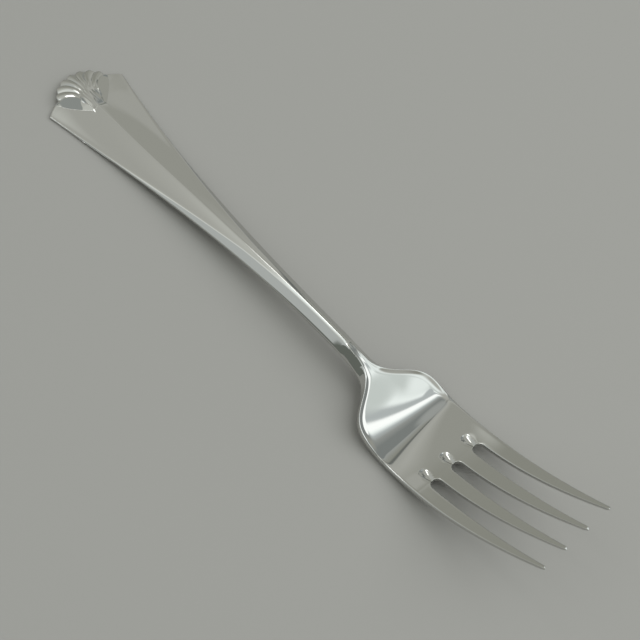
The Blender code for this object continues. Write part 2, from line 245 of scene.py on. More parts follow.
# %% Height of the top
FILLET = 0.22
RIDGE_ROUND = 0.2
EDGE_ROUND = 0.28
EDGE_SHARE = 0.4           # most of an upright edge that one rounding may take
TINE_ROUND_SHARE = 0.55    # most of a tine's half width that one rounding may take
RIM_CURL_SLOPE = 0.36
RIM_CURL_BEND = 1.4
RIM_CURL_FLAT = 0.8
RIM_CURL_SHARE = 0.8       # most of the top's half width that the curl may take
RIM_CURL_LEAD = 3.0
RIM_CURL_END = 0.85        # of the plate's length, from the end of the curl to the slots
TIP_THINNING = 0.05
TIP_THINNING_LENGTH = 1.0
TIP_FACET = 0.64
TIP_FACET_LENGTH = 0.5
SLOT_RADIUS = SLOT_WIDTH / 2
X_SLOT_SIDE = X_SLOT + SLOT_RADIUS
X_CURL_END = X_SLOT - RIM_CURL_END * PLATE_LENGTH


def slot_distance(x, y):
    """How far a point lies from the nearest slot."""
    nearest = np.full(np.broadcast(x, y).shape, np.inf)
    gap = (TINE_PITCH - tine_width(x)) / 2
    for centre in SLOT_CENTRES:
        across = np.abs(y - centre)
        round_end = np.hypot(x - X_SLOT_SIDE, across) - SLOT_RADIUS
        nearest = np.minimum(nearest, np.where(x < X_SLOT_SIDE, round_end, across - gap))
    return np.clip(nearest, 0, None)


def edge_radius(x):
    radius = np.minimum(EDGE_ROUND, EDGE_SHARE * edge_height(x))
    narrow = TINE_ROUND_SHARE * tine_width(x) / 2
    return np.where(x > X_SLOT_SIDE, np.minimum(radius, narrow), radius)


def edge_drop(x, y, end_distance):
    """How far the rounded edges bring the top down, or the back up, at each point."""
    radius = edge_radius(x)
    reach = np.minimum(np.clip(half_width(x) - np.abs(y), 0, None), slot_distance(x, y))
    reach = np.clip(np.minimum(reach, end_distance), 0, radius)
    into_tip = np.clip((x - X_TIP) / TIP_THINNING_LENGTH + 1, 0, 1)
    thinning = TIP_THINNING * (1 - np.sqrt(1 - into_tip ** 2))
    return radius - np.sqrt(radius ** 2 - (radius - reach) ** 2) + thinning


def rim_curl(x, outward, panel):
    """How far the bowl's rim curls up: a bend, and then a straight slope up to the bevel."""
    on_head = ease((x - X_NECK) / (2 * RIM_CURL_LEAD) + 0.5) * ease((X_CURL_END - x) / PLATE_LENGTH)
    shrink = np.minimum(1, RIM_CURL_SHARE * panel / (RIM_CURL_BEND + RIM_CURL_FLAT))
    bend = RIM_CURL_BEND * shrink
    into_curl = np.clip(outward - panel + bend + RIM_CURL_FLAT * shrink, 0, None)
    curl = np.where(into_curl < bend, into_curl ** 2 / (2 * bend), into_curl - bend / 2)
    return RIM_CURL_SLOPE * on_head * np.minimum(curl, bend / 2 + RIM_CURL_FLAT * shrink)


def top_height(x, y):
    crest = along_fork(x, HANDLE_END_THICKNESS, SHANK_THICKNESS, BOWL_THICKNESS, TINE_TIP_THICKNESS)
    panel = panel_half_width(x)
    outward = np.abs(y)
    rise = ROOF_RISE * np.tanh(panel / ROOF_FADE) * ease((X_NECK - x) / ARCH_SETBACK)
    off_ridge = np.hypot(y, RIDGE_ROUND) - RIDGE_ROUND
    roof = crest - rise * (1 - np.clip(1 - off_ridge / panel, 0, 1) ** ROOF_HOLLOW)
    bevel = mix(crest - rise, edge_height(x), (outward - panel) / (half_width(x) - panel))
    lower = (roof + bevel - np.hypot(roof - bevel, FILLET)) / 2
    return back_height(x) + dish_rise(x, y) + lower + rim_curl(x, outward, panel)


print("top of the neck at", round(float(top_height(X_NECK, 0.0)), 2))

# %% [markdown]
# ## The rows and columns of the sheet
#
# A mirror shows every kink, so the sheet's lines run with the form. On the handle they follow the bevels
# and the panel. On the head they follow the tines and the slots, and they crowd together where an edge is
# rounded. Between the two, each line slides from one layout to the other. At the handle's end a third
# layout fans out along the flutes of the shell.

# %% Columns of the sheet
BEVEL_STEPS = np.array([0, 0.01, 0.03, 0.06, 0.1, 0.25, 0.45, 0.65, 0.8, 0.9, 0.96, 1])
TINE_STEPS = np.array([0, 0.02, 0.06, 0.11, 0.17, 0.3, 0.45, 0.63, 0.81, 1])
OUTER_TINE_STEPS = np.array([
    0, 0.02, 0.05, 0.1, 0.16, 0.22, 0.28, 0.34, 0.4, 0.48, 0.58, 0.7, 0.82, 0.91, 0.97, 1])
SLOT_COLUMNS = 16
PANEL_CROWDING = 0.25      # 0 would space the panel's columns evenly
HEAD_LAYOUT_LEAD = 6.0     # the head's layout is complete this far before the bowl's lowest line
TINE_COLUMNS = 2 * (len(TINE_STEPS) - 1)
BEVEL_COLUMNS = len(BEVEL_STEPS) - 1
OUTER_TINE_COLUMNS = BEVEL_COLUMNS + len(OUTER_TINE_STEPS) - 1
COLUMNS = 2 * (OUTER_TINE_COLUMNS + TINE_COLUMNS) + SLOT_COUNT * SLOT_COLUMNS
PANEL_COLUMNS = COLUMNS - 2 * BEVEL_COLUMNS


def handle_columns(x):
    outer = half_width(x)[:, None]
    panel = panel_half_width(x)[:, None]
    even = np.linspace(-1, 1, PANEL_COLUMNS + 1)[None, 1:-1]
    across = panel * mix(even, np.sin(np.pi / 2 * even), PANEL_CROWDING)
    bevel = outer - (outer - panel) * BEVEL_STEPS[None, :]
    return np.hstack([-bevel, across, bevel[:, ::-1]])


def head_columns(x):
    outer = half_width(x)[:, None]
    panel = panel_half_width(x)[:, None]
    narrowing = np.where(x < X_SLOT, half_width(x) / (HEAD_WIDTH / 2), 1)[:, None]
    width = tine_width(x)[:, None]
    gap = TINE_PITCH - width
    bevel = -(outer - (outer - panel) * BEVEL_STEPS[None, :])
    inner_edge = narrowing * (width / 2 - OUTER_TINE_CENTRE)
    outer_tine = mix(-panel, inner_edge, OUTER_TINE_STEPS[None, 1:])
    arc = -np.cos(np.pi * np.arange(1, SLOT_COLUMNS) / SLOT_COLUMNS)[None, :]
    outer_slot = narrowing * (gap / 2 * arc - TINE_PITCH)
    full_tine = np.concatenate([TINE_STEPS - 1, (1 - TINE_STEPS)[-2::-1]])[None, :]
    inner_tine = narrowing * (width / 2 * full_tine - TINE_PITCH / 2)
    left = np.hstack([bevel, outer_tine, outer_slot, inner_tine])
    middle_slot = narrowing * gap / 2 * arc
    return np.hstack([left, middle_slot, -left[:, ::-1]])


def sheet_columns(x):
    share = ease((x - X_NECK) / (X_LOW - HEAD_LAYOUT_LEAD - X_NECK))[:, None]
    return mix(handle_columns(x), head_columns(x), share)


print(COLUMNS, "columns:", sheet_columns(np.array([0.0, X_SLOT])).shape)

# %% [markdown]
# ## The shell
#
# The shell is a traditional ornament: seven flutes that spread from a root on the ridge to a scalloped rim
# past the handle's end. It stands above the panel, and a cove cut beside each outer flute sets it off. It
# could be carved from the panel with booleans, but then no line of the mesh would follow a flute. Here it
# is drawn on a fan of its own. Each flute is a round rib between two sharp valleys, so its height follows
# half a sine wave, and the same wave pushes the rim outwards.

# %% Plan and height of the shell
SHELL_BASE = 6.8
SHELL_HALF_ANGLE = math.radians(43.0)
SHELL_CROWN_DROP = 2.6
SHELL_BASE_WIDTH = 3.9
SHELL_RISE = 1.6
SHELL_SIDE_DROP = 0.1
SHELL_RIM_HEIGHT = 1.9
SHELL_LIFT = 0.25
SIDE_SWEEP = math.radians(78.5)
DOME_SKEW = 1.3
DOME_FULLNESS = 0.7
FLUTE_COUNT = 7
FLUTE_DEPTH = 0.3
SCALLOP_DEPTH = 0.5
FLUTE_START = 0.4
FLUTE_FADE = 0.45
COVE_ROOT = 0.55
COVE_ROOT_WIDTH = 4.2
COVE_END = 0.95
COVE_END_WIDTH = 19.4
COVE_SLOPE = math.radians(31)
COVE_ROOT_SHARE = 0.62
COVE_TURN = 0.34
COVE_TURN_LENGTH = 0.25
SIDE_BLEND = 4             # a higher power keeps the pull of the coves closer to the fan's sides
END_BOW = 3
FLUTE_COLUMNS = 10
SHELL_COLUMNS = FLUTE_COUNT * FLUTE_COLUMNS
COVE_STEPS = np.array([[0.01, 0.25, 0.5, 0.75, 0.97]])
COVE_COLUMNS = COVE_STEPS.size + 1
SIDE_COLUMNS = (COLUMNS - SHELL_COLUMNS) // 2 - COVE_COLUMNS - BEVEL_COLUMNS
X_SHELL_BASE = X_CORNER + SHELL_BASE


def flute_wave(column):
    """Height of a flute about its mean: 1 on the rib, 0 in the valley, less the mean."""
    return np.sin(np.pi * (FLUTE_COUNT * (column + 1) / 2 % 1)) - 2 / np.pi


def shell_plan(row, column):
    wave = flute_wave(column)
    reach = SHELL_OVERHANG + SHELL_BASE - SCALLOP_DEPTH * (1 - 2 / np.pi)
    reach = reach + SCALLOP_DEPTH * wave - SHELL_CROWN_DROP * column ** 2
    angle = SHELL_HALF_ANGLE * column
    x = X_SHELL_BASE - reach * np.cos(angle) * row
    spread = (1 - np.cos(np.arcsin(row * math.sin(SIDE_SWEEP)))) / (1 - math.cos(SIDE_SWEEP))
    y = mix(SHELL_BASE_WIDTH / 2 * column, reach * np.sin(angle), spread)
    return x, y


def cove_foot(row):
    """Where the cove on the left of the shell meets the panel."""
    x = mix(X_SHELL_BASE + COVE_ROOT, X_CORNER - COVE_END, row)
    y = mix(-COVE_ROOT_WIDTH / 2, -COVE_END_WIDTH / 2, row)
    return x, y


def cove_height(x, y):
    """The flat side of the cove, which climbs from its foot towards the shell."""
    (root_x, root_y), (end_x, end_y) = cove_foot(0.0), cove_foot(1.0)
    length = math.hypot(end_x - root_x, end_y - root_y)
    along_x, along_y = (end_x - root_x) / length, (end_y - root_y) / length
    along = ((x - root_x) * along_x + (y - root_y) * along_y) / length
    out = (y - root_y) * -along_x + (x - root_x) * along_y
    level = mix(top_height(root_x, root_y), top_height(X_CORNER, end_y), along)
    steepness = mix(COVE_ROOT_SHARE, 1, ease((along - COVE_TURN) / COVE_TURN_LENGTH + 0.5))
    return level + math.tan(COVE_SLOPE) * steepness * out


def fan_rise(row, column):
    """The dome and the flutes, above the straight line from the root to the rim."""
    dome = np.clip(np.sin(np.pi * row ** DOME_SKEW), 0, 1) ** DOME_FULLNESS
    dome = SHELL_RISE * dome * (1 - SHELL_SIDE_DROP * column ** 2)
    return dome + FLUTE_DEPTH * ease((row - FLUTE_START) / FLUTE_FADE) * flute_wave(column)


def shell_height(row, column):
    """Height of the fan, with its sides drawn to the coves."""
    x, y = shell_plan(row, column)
    root = top_height(np.full_like(y, X_SHELL_BASE), y)
    height = mix(root, SHELL_RIM_HEIGHT, row) + fan_rise(row, column)
    side_x, side_y = shell_plan(row, np.full_like(row, -1.0))
    side_root = top_height(X_SHELL_BASE, SHELL_BASE_WIDTH / 2)
    side = mix(side_root, SHELL_RIM_HEIGHT, row) + fan_rise(row, -1.0)
    return height + np.abs(column) ** SIDE_BLEND * (cove_height(side_x, side_y) - side)


def end_outline(y):
    """The handle's end, which bows out between its corners."""
    return X_CORNER - END_BULGE * (1 - np.abs(2 * y / HANDLE_END_WIDTH) ** END_BOW)


print("shell rim at", [round(float(v), 2) for v in shell_plan(np.array(1.0), np.array(0.0))])

# %% [markdown]
# One row of this zone runs from the left edge over the bevel, the panel and the cove to the fan, and then
# back again on the right as a mirror image. The rows crowd together at the rim, where the edge is rounded.

# %% Rows across the shell
RIM_ROWS = [1, 0.998, 0.994, 0.988, 0.979, 0.965, 0.945]     # shares of the way from root to rim
SHELL_ROWS = np.concatenate([RIM_ROWS, np.linspace(0.92, 0.04, 36)])
LAST_SIDE_STEP = 0.995     # the column just before the cove's foot keeps that line crisp
END_BLEND = 6              # a higher power keeps the bow of the handle's end closer to the end


def shell_zone():
    """Plan and top of the rows from the shell's rim to its root."""
    row = SHELL_ROWS[:, None]
    outer_x = mix(X_SHELL_BASE, X_CORNER, row)
    outer = half_width(outer_x)
    panel = panel_half_width(outer_x)
    bevel_y = -(outer - (outer - panel) * BEVEL_STEPS[None, :])
    bevel_x = outer_x + 0 * bevel_y
    foot_x, foot_y = cove_foot(row)
    side_steps = np.linspace(0, 1, SIDE_COLUMNS + 1)[None, 1:]
    side_steps[0, -2] = LAST_SIDE_STEP
    left_x = np.hstack([bevel_x, mix(outer_x, foot_x, side_steps)])
    left_y = np.hstack([bevel_y, mix(-panel, foot_y, side_steps)])
    left_x = left_x + row ** END_BLEND * (end_outline(left_y[:1]) - left_x[:1])
    left_z = top_height(left_x, left_y)
    foot_x, foot_z = left_x[:, -1:], left_z[:, -1:]
    side_x, side_y = shell_plan(row, -np.ones_like(row))
    cove_x = mix(foot_x, side_x, COVE_STEPS)
    cove_y = mix(foot_y, side_y, COVE_STEPS)
    off_foot = foot_z - cove_height(foot_x, foot_y)
    cove_z = cove_height(cove_x, cove_y) + off_foot * (1 - COVE_STEPS)
    column = np.linspace(-1, 1, SHELL_COLUMNS + 1)[None, :]
    fan_x, fan_y = shell_plan(row, column)
    fan_z = shell_height(row, column + 0 * row)
    xs = np.hstack([left_x, cove_x, fan_x, cove_x[:, ::-1], left_x[:, ::-1]])
    ys = np.hstack([left_y, cove_y, fan_y, -cove_y[:, ::-1], -left_y[:, ::-1]])
    zs = np.hstack([left_z, cove_z, fan_z, cove_z[:, ::-1], left_z[:, ::-1]])
    return xs, ys, zs


shell_x, shell_y, shell_z = shell_zone()
print("shell rows and columns:", shell_x.shape)

# %% [markdown]
# ## The teardrops
#
# A teardrop is swaged into the plate above each slot. Its blunt nose points to the bowl, and its sides run
# nearly together at the slot, where it is deepest. Polishing leaves a soft lip round it, which is drawn as
# a second hollow, wider and much shallower.

# %% Depth of the teardrops
SWAGE_LENGTH = 4.3
SWAGE_WIDTH = 2.7
SWAGE_DEPTH = 0.7
SWAGE_NOSE = 0.35          # a smaller power makes a blunter nose
SWAGE_TAPER = 0.8          # 1 would bring the sides together to a point at the slot
SWAGE_LIP_SPREAD = 1.8     # the lip's width as a share of the teardrop's
SWAGE_LIP_SHARE = 0.15     # the lip's share of the depth
LEAST_FULLNESS = 1e-3      # keeps the division safe at the nose


def swage_fullness(along):
    """How wide the teardrop is along its length: 0 at its nose, 1 where it is widest."""
    widest = SWAGE_NOSE / (SWAGE_TAPER * (1 + SWAGE_NOSE))
    return (along / widest) ** SWAGE_NOSE * (1 - SWAGE_TAPER * along) / (1 - SWAGE_TAPER * widest)


def swage_depth(x, y):
    depth = np.zeros(np.broadcast(x, y).shape)
    along = np.clip((x - X_SLOT) / SWAGE_LENGTH + 1, 0, 1)
    reach = SWAGE_WIDTH / 2 * np.maximum(swage_fullness(along), LEAST_FULLNESS)
    for centre in SLOT_CENTRES:
        across = (y - centre) / reach
        hollow = np.clip(1 - across ** 2, 0, 1)
        lip = np.clip(1 - (across / SWAGE_LIP_SPREAD) ** 2, 0, 1) ** 2
        depth = depth + SWAGE_DEPTH * np.sqrt(along) * mix(hollow, lip, SWAGE_LIP_SHARE)
    return depth


print("deepest:", round(float(swage_depth(np.array(X_SLOT), np.array(0.0))), 2))

# %% [markdown]
# ## Every row of the sheet
#
# The rows lie close together where the form turns quickly: at the rim of the shell, in the neck, at the
# round ends of the slots and at the tips. Just before a slot, the rows between its sides bend back so that
# the last of them lies on the slot's round end.

# %% Plan of the rows
X_FAN_END = X_CORNER + 26.0
X_CLOSE_ROWS = X_SLOT - 5.0
X_TIP_ROUND = X_TIP - TINE_TIP_WIDTH
SLOT_APPROACH = 6.0
FAN_ROWS = 18
HANDLE_ROWS = 71
NECK_ROWS = 67
BOWL_ROWS = 16
CLOSE_ROWS = 32
TINE_ROWS = 57
TIP_ROWS = 9
ROUND_END_STEPS = np.array([0.6, 0.42, 0.28, 0.17, 0.09, 0.03, 0])


def rows_between(start, end, count):
    """Evenly spaced stations after start, up to end."""
    return np.linspace(start, end, count + 1)[1:]


fan_share = rows_between(0, 1, FAN_ROWS)[:, None]
fan_x = mix(shell_x[-1:], X_FAN_END, fan_share)
fan_y = mix(shell_y[-1:], sheet_columns(np.array([X_FAN_END])), fan_share)

stations = np.concatenate([
    rows_between(X_FAN_END, X_ARCH, HANDLE_ROWS),
    rows_between(X_ARCH, X_LOW, NECK_ROWS),
    rows_between(X_LOW, X_CLOSE_ROWS, BOWL_ROWS),
    rows_between(X_CLOSE_ROWS, X_SLOT_SIDE - ROUND_END_STEPS[0], CLOSE_ROWS),
    X_SLOT_SIDE - ROUND_END_STEPS[1:],
    rows_between(X_SLOT_SIDE, X_TIP_ROUND, TINE_ROWS),
    mix(X_TIP_ROUND, X_TIP, np.sin(rows_between(0, np.pi / 2, TIP_ROWS))),
])
straight_y = sheet_columns(stations)
straight_x = np.repeat(stations[:, None], COLUMNS + 1, axis=1)
pull = np.clip((stations - X_SLOT_SIDE) / SLOT_APPROACH + 1, 0, 1) ** 2
pull[stations > X_SLOT_SIDE] = 0
round_end = SLOT_RADIUS * np.sin(np.pi * np.arange(SLOT_COLUMNS + 1) / SLOT_COLUMNS)
slot_starts = [OUTER_TINE_COLUMNS + index * (TINE_COLUMNS + SLOT_COLUMNS) for index in range(SLOT_COUNT)]
for start in slot_starts:
    straight_x[:, start:start + SLOT_COLUMNS + 1] -= pull[:, None] * round_end[None, :]

sheet_x = np.vstack([shell_x, fan_x, straight_x])
sheet_y = np.vstack([shell_y, fan_y, straight_y])
ROWS = len(sheet_x) - 1
print(ROWS, "rows, of which", len(shell_x) - 1, "cross the shell")

# %% [markdown]
# Now every point of the plan gets its two heights. The top is the formed metal less the rounded edges and
# the ground facet at each tip. The back is the plain curve of the side view, with its edges rounded up and
# the part under the shell's rim lifted a little.

# %% Heights of the top and the back
SHELL_LIFT_START = 1.0
SHELL_LIFT_LENGTH = 2.0

formed = top_height(sheet_x, sheet_y) - swage_depth(sheet_x, sheet_y)
formed[:len(shell_z)] = shell_z
end_distance = np.hypot(sheet_x - sheet_x[:1], sheet_y - sheet_y[:1])
rounding = edge_drop(sheet_x, sheet_y, end_distance)
tip_facet = TIP_FACET * np.clip((sheet_x - X_TIP) / TIP_FACET_LENGTH + 1, 0, 1)
sheet_z = formed - rounding - tip_facet
past_end = SHELL_LIFT * ease((X_CORNER - SHELL_LIFT_START - sheet_x) / SHELL_LIFT_LENGTH)
back_z = back_height(sheet_x) + dish_rise(sheet_x, sheet_y) + past_end + rounding
print("thinnest metal", round(float((sheet_z - back_z).min()), 2))

# %% [markdown]
# ## Make the sheet
#
# A grid primitive gives a flat sheet with the right number of rows and columns. Its points are then
# carried to their places, as a die presses a blank. The height of the back is kept on each point as an
# attribute, because Blender carries attributes along when faces are deleted and extruded.

# %% Add and form the grid
bpy.ops.mesh.primitive_grid_add(x_subdivisions=COLUMNS, y_subdivisions=ROWS, size=1)
fork = bpy.context.object
fork.name = "polished_fork"
mesh = fork.data
flat = np.empty(len(mesh.vertices) * 3, np.float32)
mesh.vertices.foreach_get("co", flat)
flat = flat.reshape(-1, 3)
column_of = np.rint((flat[:, 0] + 0.5) * COLUMNS).astype(int)
row_of = np.rint((flat[:, 1] + 0.5) * ROWS).astype(int)
placed = np.stack([sheet[row_of, column_of] for sheet in (sheet_x, sheet_y, sheet_z)], axis=1) * MM
mesh.vertices.foreach_set("co", placed.astype(np.float32).ravel())
attribute = mesh.attributes.new("back_height", "FLOAT", "POINT")
attribute.data.foreach_set("value", (back_z[row_of, column_of] * MM).astype(np.float32))
print(len(mesh.polygons), "faces in the sheet")

# %% [markdown]
# ## Pierce the slots and give the metal its thickness
#
# The faces between the tines are selected by their place in the sheet and deleted, which leaves the slots.
# Then the whole sheet is extruded: Blender keeps the first sheet as the top and closes the sides, and the
# new sheet is moved to the height of the back.

# %% Pierce the slots
ROW_TOLERANCE = 1e-6

before_slots = int(np.searchsorted(stations, X_SLOT_SIDE - ROW_TOLERANCE))
first_slot_row = len(shell_x) + len(fan_x) + before_slots
face_rows = np.array([min(row_of[v] for v in face.vertices) for face in mesh.polygons])
face_columns = np.array([min(column_of[v] for v in face.vertices) for face in mesh.polygons])
in_slot = np.zeros(len(mesh.polygons), bool)
for start in slot_starts:
    in_slot |= (face_columns >= start) & (face_columns < start + SLOT_COLUMNS)
in_slot &= face_rows >= first_slot_row

bpy.ops.object.mode_set(mode="EDIT")
bpy.ops.mesh.select_mode(type="FACE")
bpy.ops.mesh.select_all(action="DESELECT")
bpy.ops.object.mode_set(mode="OBJECT")
mesh.polygons.foreach_set("select", in_slot)
bpy.ops.object.mode_set(mode="EDIT")
bpy.ops.mesh.delete(type="FACE")
print(int(in_slot.sum()), "faces pierced")

# %% Give the metal its thickness
bpy.ops.mesh.select_all(action="SELECT")
bpy.ops.mesh.extrude_region_move(TRANSFORM_OT_translate={"value": (0, 0, -MM)})
bpy.ops.object.mode_set(mode="OBJECT")

chosen = np.empty(len(mesh.vertices), bool)
mesh.vertices.foreach_get("select", chosen)
places = np.empty(len(mesh.vertices) * 3, np.float32)
mesh.vertices.foreach_get("co", places)
places = places.reshape(-1, 3)
backs = np.empty(len(mesh.vertices), np.float32)
mesh.attributes["back_height"].data.foreach_get("value", backs)
places[chosen, 2] = backs[chosen]
mesh.vertices.foreach_set("co", places.ravel())
mesh.attributes.remove(mesh.attributes["back_height"])
mesh.update()
print(int(chosen.sum()), "points moved to the back")

# %% [markdown]
# An extrusion can leave faces that look inwards, so the normals are made consistent. A mesh is closed when
# no edge lacks a second face, and the count of open points shows that. Smooth shading then hides the
# facets and keeps only the edges that turn by more than the crease angle.

# %% Close up and shade
CREASE_ANGLE = math.radians(50)

bpy.ops.object.mode_set(mode="EDIT")
bpy.ops.mesh.select_all(action="SELECT")
bpy.ops.mesh.normals_make_consistent(inside=False)
bpy.ops.mesh.select_all(action="DESELECT")
bpy.ops.mesh.select_mode(type="VERT")
bpy.ops.mesh.select_non_manifold()
bpy.ops.object.mode_set(mode="OBJECT")
open_points = sum(vertex.select for vertex in mesh.vertices)
bpy.ops.object.shade_smooth_by_angle(angle=CREASE_ANGLE)
triangles = sum(len(face.vertices) - 2 for face in mesh.polygons)
print(triangles, "triangles,", open_points, "open points")

# %% [markdown]
# ## The finish: mirror-polished stainless steel
#
# Stainless steel is a grey metal that mirrors about six tenths of the light, a little darker than silver.
# A polishing wheel leaves fine lines along the fork, and handling adds faint smudges. They hardly colour
# the metal. They spread its reflections, so they go into the roughness and the bump. Real polishing lines
# are far too fine to show, so they are drawn as coarse as a hair.


# %% Helpers for colours and nodes
def colour(hex_value):
    """An sRGB hex value as linear red, green, blue and alpha."""
    parts = [int(hex_value[index:index + 2], 16) / 255 for index in (1, 3, 5)]
    linear = [part / 12.92 if part <= 0.04045 else ((part + 0.055) / 1.055) ** 2.4 for part in parts]
    return (*linear, 1.0)


def add_node(tree, kind, links=None, **settings):
    """Add a node, set its properties, and link or set its inputs."""
    node = tree.nodes.new(kind)
    for name, value in settings.items():
        setattr(node, name, value)
    for name, value in (links or {}).items():
        if isinstance(value, bpy.types.NodeSocket):
            tree.links.new(value, node.inputs[name])
        else:
            node.inputs[name].default_value = value
    return node


STEEL_COLOUR = "#cdcdca"
print("steel in linear light:", [round(v, 2) for v in colour(STEEL_COLOUR)])

# %% Mirror-polished stainless steel
POLISH_LINE_WIDTH = 0.12 * MM
POLISH_LINE_LENGTH = 9.0 * MM
POLISH_LINE_DEPTH = 0.01 * MM
POLISH_LINE_STRENGTH = 0.06
SMUDGE_SIZE = 11.0 * MM
SMUDGE_START = 0.4
SMUDGE_FULL = 0.7
CLEAN_ROUGHNESS = 0.02
SMUDGE_ROUGHNESS = 0.05

steel = bpy.data.materials.new("mirror_polished_stainless_steel")
steel.use_nodes = True
tree = steel.node_tree
shader = tree.nodes["Principled BSDF"]
shader.inputs["Base Color"].default_value = colour(STEEL_COLOUR)
shader.inputs["Metallic"].default_value = 1.0
place = add_node(tree, "ShaderNodeTexCoord").outputs["Object"]
stretch = (1 / POLISH_LINE_LENGTH, 1 / POLISH_LINE_WIDTH, 1 / POLISH_LINE_WIDTH)
along_lines = add_node(tree, "ShaderNodeMapping", {"Vector": place, "Scale": stretch})
lines = add_node(tree, "ShaderNodeTexNoise", {
    "Vector": along_lines.outputs["Vector"], "Scale": 1.0, "Detail": 2.0})
smudges = add_node(tree, "ShaderNodeTexNoise", {
    "Vector": place, "Scale": 1 / SMUDGE_SIZE, "Detail": 4.0})
dulling = add_node(tree, "ShaderNodeMapRange", {
    "Value": smudges.outputs["Fac"], "From Min": SMUDGE_START, "From Max": SMUDGE_FULL,
    "To Min": CLEAN_ROUGHNESS, "To Max": SMUDGE_ROUGHNESS})
tree.links.new(dulling.outputs["Result"], shader.inputs["Roughness"])
relief = add_node(tree, "ShaderNodeBump", {
    "Height": lines.outputs["Fac"], "Strength": POLISH_LINE_STRENGTH, "Distance": POLISH_LINE_DEPTH})
tree.links.new(relief.outputs["Normal"], shader.inputs["Normal"])
fork.data.materials.append(steel)
print("material:", steel.name, len(tree.nodes), "nodes")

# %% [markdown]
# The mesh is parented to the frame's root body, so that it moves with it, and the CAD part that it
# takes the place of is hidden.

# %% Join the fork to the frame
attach(fork, "root")
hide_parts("fork")

# %% [markdown]
# ## The studio
#
# A mirror has no look of its own: it shows what stands around it. So the look of polished steel is made by
# the room, and the steel itself stays plain. The fork lies on a matt grey floor, which it mirrors along
# its lower edges.

# %% The floor
FLOOR_COLOUR = "#a1a09d"
FLOOR_SIZE = 6.0
FLOOR_ROUGHNESS = 0.9
FLOOR_SHINE = 0.2

bpy.ops.mesh.primitive_plane_add(size=FLOOR_SIZE)
floor = bpy.context.object
floor.name = "floor"
matt = bpy.data.materials.new("plain_matt_floor")
matt.use_nodes = True
shader = matt.node_tree.nodes["Principled BSDF"]
shader.inputs["Base Color"].default_value = colour(FLOOR_COLOUR)
shader.inputs["Roughness"].default_value = FLOOR_ROUGHNESS
shader.inputs["Specular IOR Level"].default_value = FLOOR_SHINE
floor.data.materials.append(matt)
print("floor", FLOOR_SIZE, "m across")

# %% [markdown]
# The room has grey walls. A tall soft light stands beyond the tines on the far side, split by a bar, and
# its reflection fills the bowl. Behind the handle the walls are pale, and the darker corners between give
# the steel its contrast. A picture of a real room could be wrapped round the fork instead, but a room of
# named greys is easy to read and to change. Which grey stands where was found by tracing the direction that
# each part of the steel mirrors, reading its tone, and then comparing renders.
#
# Each tone below is the grey that polished steel shows where it mirrors that part of the room, and the
# strength of the room makes up for the light that the steel takes away.

# %% The room's tones
WALL = "#999a95"
LIT_WALL = "#a1a29d"
BRIGHT_WALL = "#b0b2ad"
LOW_WALL = "#83847d"
DARK_WALL = "#5c605b"
CORNER = "#838785"
DOOR = "#8b8e8c"
STRIP = "#939694"
DIM_WALL = "#8e8f89"
COOL_WALL = "#a3a7a6"
PALE = "#c3c6c3"
EDGE_SHADE = "#5f6260"
SHADE = "#767a79"
BAR = "#aab0b1"
PANE = "#dfe6e5"
BRIGHT_PANE = "#e9f0ef"
DIM_PANE = "#bec5c3"
GLARE = "#fbfefe"
ROOM_STRENGTH = 1.65
print("brightest tone in linear light:", [round(v, 2) for v in colour(GLARE)])

# %% [markdown]
# The room is written as three rings of tones, one above the other: the skirting, the walls at eye level
# and the walls above. Compass angles are in degrees, from 0 at +Y through 90 at +X. Each tone is reached at
# its angle and blends into the next, so two equal tones in a row make a plain stretch. Round patches are
# laid over the rings for the spots that a ring can't hold.

# %% Rings and patches
UPPER_RING = [
    (-180, BRIGHT_WALL), (-122, BRIGHT_WALL), (-102, LIT_WALL), (-85, WALL), (-77.5, WALL),
    (-72, BRIGHT_WALL), (-71, BRIGHT_WALL), (-67, DIM_WALL), (-50, DIM_WALL), (-40, LIT_WALL),
    (-33.6, WALL), (-32.6, EDGE_SHADE), (-31.2, EDGE_SHADE), (-30, LOW_WALL), (-20, STRIP),
    (-18.5, SHADE), (2, SHADE), (14, DOOR), (21.5, BAR), (26.5, BRIGHT_PANE), (29, GLARE),
    (34.6, GLARE), (36.8, BAR), (42, BAR), (45.5, BRIGHT_PANE), (49, PANE), (55, DIM_PANE),
    (62, DIM_PANE), (85, PANE), (105, PANE), (120, LIT_WALL), (180, BRIGHT_WALL),
]
LOWER_RING = [
    (-180, DARK_WALL), (-164, DARK_WALL), (-161.5, COOL_WALL), (-140, COOL_WALL), (-110, WALL),
    (-80, LOW_WALL), (-54, LOW_WALL), (-47, DIM_WALL), (-38, DIM_WALL), (-31, WALL), (-28, WALL),
    (-27, EDGE_SHADE), (-25.4, EDGE_SHADE), (-24.4, DIM_WALL), (12, DIM_WALL), (18, SHADE),
    (50, SHADE), (55, PANE), (70, PANE), (82, LIT_WALL), (96, WALL), (104, LOW_WALL),
    (150, LOW_WALL), (180, DARK_WALL),
]
SKIRTING = [
    (-180, DARK_WALL), (-125, DARK_WALL), (-115, DIM_WALL), (-80, LOW_WALL), (-40, LOW_WALL),
    (-32, SHADE), (60, SHADE), (66, WALL), (160, WALL), (170, DARK_WALL), (180, DARK_WALL),
]

